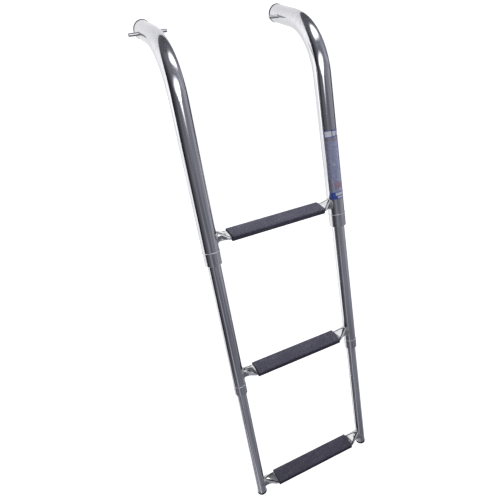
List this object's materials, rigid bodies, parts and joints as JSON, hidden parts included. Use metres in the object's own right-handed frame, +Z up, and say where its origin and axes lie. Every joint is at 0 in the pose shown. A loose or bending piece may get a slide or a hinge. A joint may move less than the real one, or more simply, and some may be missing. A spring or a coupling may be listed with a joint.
{
  "type": "boat boarding ladder",
  "caption": "Telescoping stainless boarding ladder with bent-over arms, hinge pins through the arm ends and rubber-sleeved treads.",
  "frame": {"origin": "midway between the arms, on the hinge line through the two hinge pins", "axes": "+Z up with the arms and treads level, +Y from the swimmer towards the boat along the arms, +X along the hinge line"},
  "size_m": [0.332, 0.442, 0.8872],
  "materials": {
    "polished_steel": "mirror polished",
    "collar_steel": "polished, turned edges",
    "tread_steel": "polished, pressed flat between the ends",
    "pin_steel": "satin",
    "nylon": "natural nylon",
    "black_plastic": "moulded, matt",
    "tread_rubber": "matt, fine grain",
    "label": null
  },
  "bodies": {
    "upper_section": {"left_upper_tube": "polished_steel", "left_hinge_pin": "pin_steel", "left_arm_plug": "black_plastic", "left_upper_collar": "collar_steel", "left_upper_bush": "nylon", "right_upper_tube": "polished_steel", "right_hinge_pin": "pin_steel", "right_arm_plug": "black_plastic", "right_upper_collar": "collar_steel", "right_upper_bush": "nylon", "upper_tread_bar": "tread_steel", "upper_tread_pad": "tread_rubber", "label_film": "label"},
    "middle_section": {"left_middle_collar": "collar_steel", "left_middle_bush": "nylon", "left_middle_tube": "polished_steel", "left_middle_guide": "nylon", "right_middle_collar": "collar_steel", "right_middle_bush": "nylon", "right_middle_tube": "polished_steel", "right_middle_guide": "nylon", "middle_guide_pins": "pin_steel", "middle_tread_bar": "tread_steel", "middle_tread_pad": "tread_rubber"},
    "lower_section": {"left_foot": "black_plastic", "left_lower_tube": "polished_steel", "left_lower_guide": "nylon", "right_foot": "black_plastic", "right_lower_tube": "polished_steel", "right_lower_guide": "nylon", "lower_guide_pins": "pin_steel", "lower_tread_bar": "tread_steel", "lower_tread_pad": "tread_rubber"}
  },
  "joints": [
    {"name": "middle_slide", "type": "slide", "parent": "upper_section", "child": "middle_section", "axis": [0, 0.309, 0.9511], "range_m": [0, 0.228]},
    {"name": "lower_slide", "type": "slide", "parent": "middle_section", "child": "lower_section", "axis": [0, 0.309, 0.9511], "range_m": [0, 0.232]}
  ]
}
